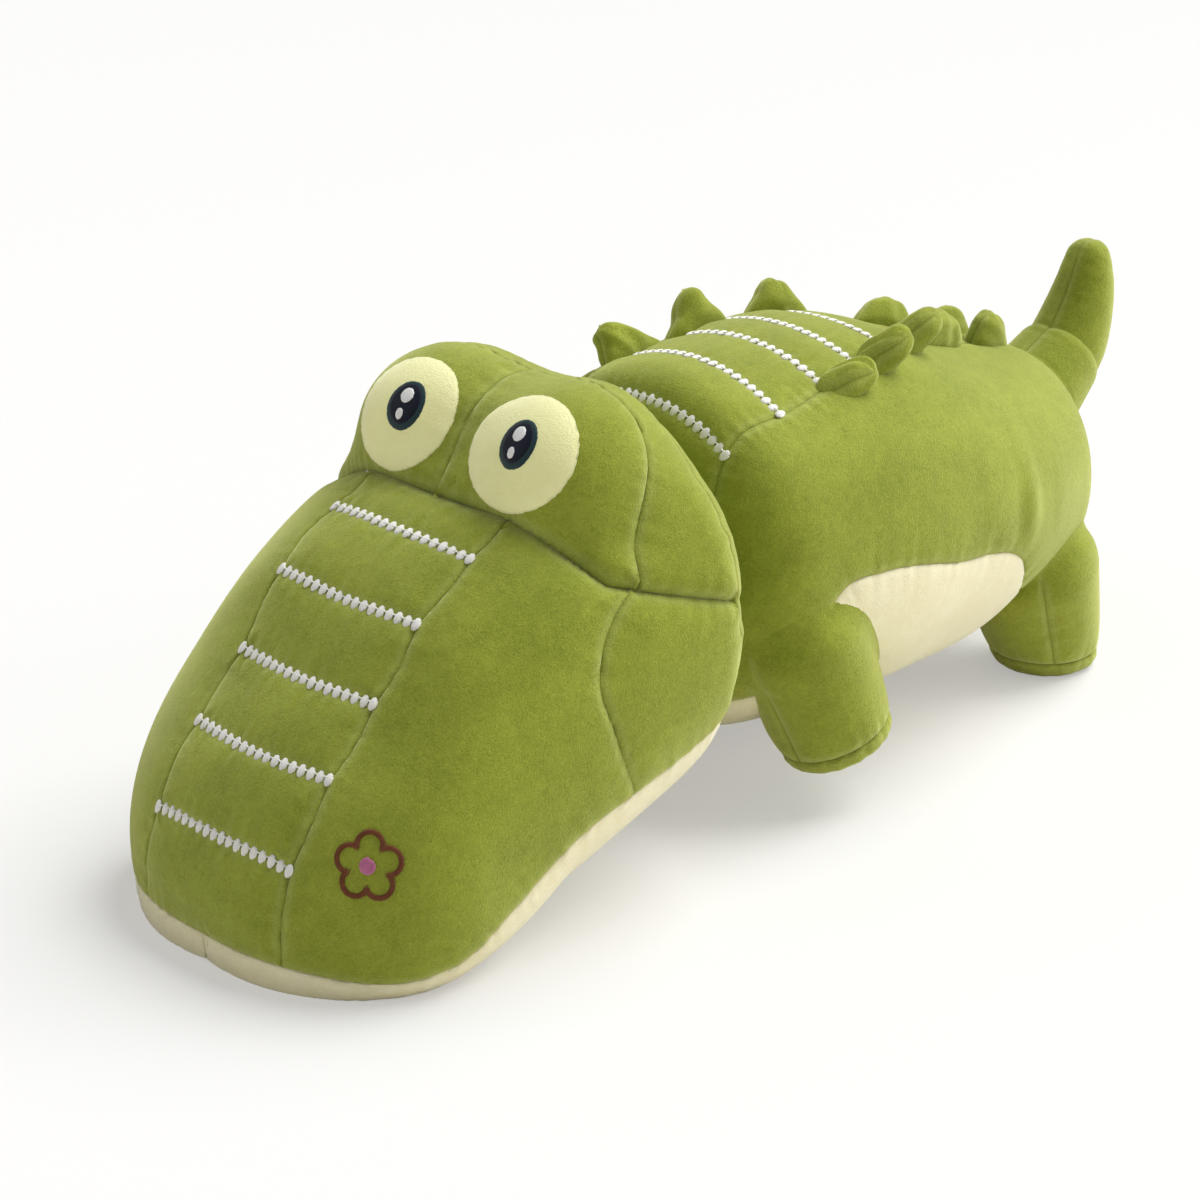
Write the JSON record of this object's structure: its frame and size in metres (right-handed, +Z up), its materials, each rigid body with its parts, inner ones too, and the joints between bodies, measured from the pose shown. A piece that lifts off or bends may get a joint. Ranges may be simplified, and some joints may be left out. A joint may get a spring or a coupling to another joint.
{
  "type": "plush crocodile",
  "caption": "Long stuffed plush crocodile with a broad flat snout, raised eye domes, beaded rows, back spikes, short legs and an upturned tail.",
  "frame": {"origin": "centre of the bounding box's bottom face, on the floor", "axes": "the snout points along -Y, the animal's left side is +X, +Z is up"},
  "size_m": [0.2856, 0.7727, 0.2791],
  "materials": {
    "green_plush": "short-pile olive green plush",
    "cream_plush": "short-pile cream plush",
    "eye_plush": "pale yellow plush with a cut edge",
    "stuffing": "white fibre stuffing",
    "navy_satin": "near-black satin stitch with a dark teal ring",
    "white_satin": "white satin stitch",
    "silver_satin": "silver-white satin stitches on a thread",
    "brown_thread": "brown satin stitch",
    "pink_thread": "pink satin stitch"
  },
  "bodies": {
    "body": {"body_stuffing": "stuffing", "back_panel": "green_plush", "belly_panel": "cream_plush", "flank_panel_left": "green_plush", "flank_panel_right": "green_plush", "back_bead_row_1": "silver_satin", "back_bead_row_2": "silver_satin", "back_bead_row_3": "silver_satin", "back_bead_row_4": "silver_satin", "back_bead_row_5": "silver_satin", "spike_right_1": "green_plush", "spike_right_2": "green_plush", "spike_right_3": "green_plush", "spike_right_4": "green_plush", "spike_right_5": "green_plush", "spike_left_1": "green_plush", "spike_left_2": "green_plush", "spike_left_3": "green_plush", "spike_left_4": "green_plush", "spike_left_5": "green_plush"},
    "neck": {"neck_stuffing": "stuffing"},
    "head": {"head_stuffing": "stuffing", "chin_panel_right": "cream_plush", "chin_panel_left": "cream_plush", "snout_top_panel": "green_plush", "snout_side_panel_right": "green_plush", "snout_side_panel_left": "green_plush", "cheek_panel_right": "green_plush", "cheek_panel_left": "green_plush", "brow_panel_right": "green_plush", "brow_panel_left": "green_plush", "crown_panel": "green_plush", "nape_panel": "green_plush", "eye_patch_right": "eye_plush", "eye_patch_left": "eye_plush", "pupil_right": "navy_satin", "pupil_left": "navy_satin", "glint_right": "white_satin", "glint_left": "white_satin", "small_glint_right": "white_satin", "small_glint_left": "white_satin", "flower_outline": "brown_thread", "flower_centre": "pink_thread", "snout_bead_row_1": "silver_satin", "snout_bead_row_2": "silver_satin", "snout_bead_row_3": "silver_satin", "snout_bead_row_4": "silver_satin", "snout_bead_row_5": "silver_satin"},
    "front_leg_left": {"front_leg_left": "green_plush", "front_leg_left_sole": "green_plush"},
    "front_leg_right": {"front_leg_right": "green_plush", "front_leg_right_sole": "green_plush"},
    "rear_leg_left": {"rear_leg_left": "green_plush", "rear_leg_left_sole": "green_plush"},
    "rear_leg_right": {"rear_leg_right": "green_plush", "rear_leg_right_sole": "green_plush"},
    "tail_base": {"tail_base": "green_plush"},
    "tail_tip": {"tail_tip": "green_plush"}
  },
  "joints": [
    {"name": "head_turn", "type": "hinge", "parent": "body", "child": "neck", "pos_m": [0, -0.06375, 0.15], "axis": [0, 0, 1], "range_deg": [-10, 10], "stiffness_Nm_per_rad": 4},
    {"name": "head_nod", "type": "hinge", "parent": "neck", "child": "head", "pos_m": [0, -0.06375, 0.15], "axis": [1, 0, 0], "range_deg": [-8, 4], "stiffness_Nm_per_rad": 9},
    {"name": "front_leg_left_swing", "type": "hinge", "parent": "body", "child": "front_leg_left", "pos_m": [0.0865, 0.00885, 0.075], "axis": [1, 0, 0], "range_deg": [-12, 12], "stiffness_Nm_per_rad": 0.6},
    {"name": "rear_leg_left_swing", "type": "hinge", "parent": "body", "child": "rear_leg_left", "pos_m": [0.067, 0.23865, 0.07], "axis": [1, 0, 0], "range_deg": [-12, 12], "stiffness_Nm_per_rad": 4},
    {"name": "front_leg_right_swing", "type": "hinge", "parent": "body", "child": "front_leg_right", "pos_m": [-0.0865, 0.00885, 0.075], "axis": [1, 0, 0], "range_deg": [-12, 12], "stiffness_Nm_per_rad": 0.6},
    {"name": "rear_leg_right_swing", "type": "hinge", "parent": "body", "child": "rear_leg_right", "pos_m": [-0.067, 0.23865, 0.07], "axis": [1, 0, 0], "range_deg": [-12, 12], "stiffness_Nm_per_rad": 4},
    {"name": "tail_wag", "type": "hinge", "parent": "body", "child": "tail_base", "pos_m": [0, 0.31125, 0.148], "axis": [0, 0, 1], "range_deg": [-15, 15], "stiffness_Nm_per_rad": 0.4},
    {"name": "tail_bend", "type": "hinge", "parent": "tail_base", "child": "tail_tip", "pos_m": [0, 0.35225, 0.176], "axis": [1, 0, 0], "range_deg": [-14, 14], "stiffness_Nm_per_rad": 0.2}
  ]
}
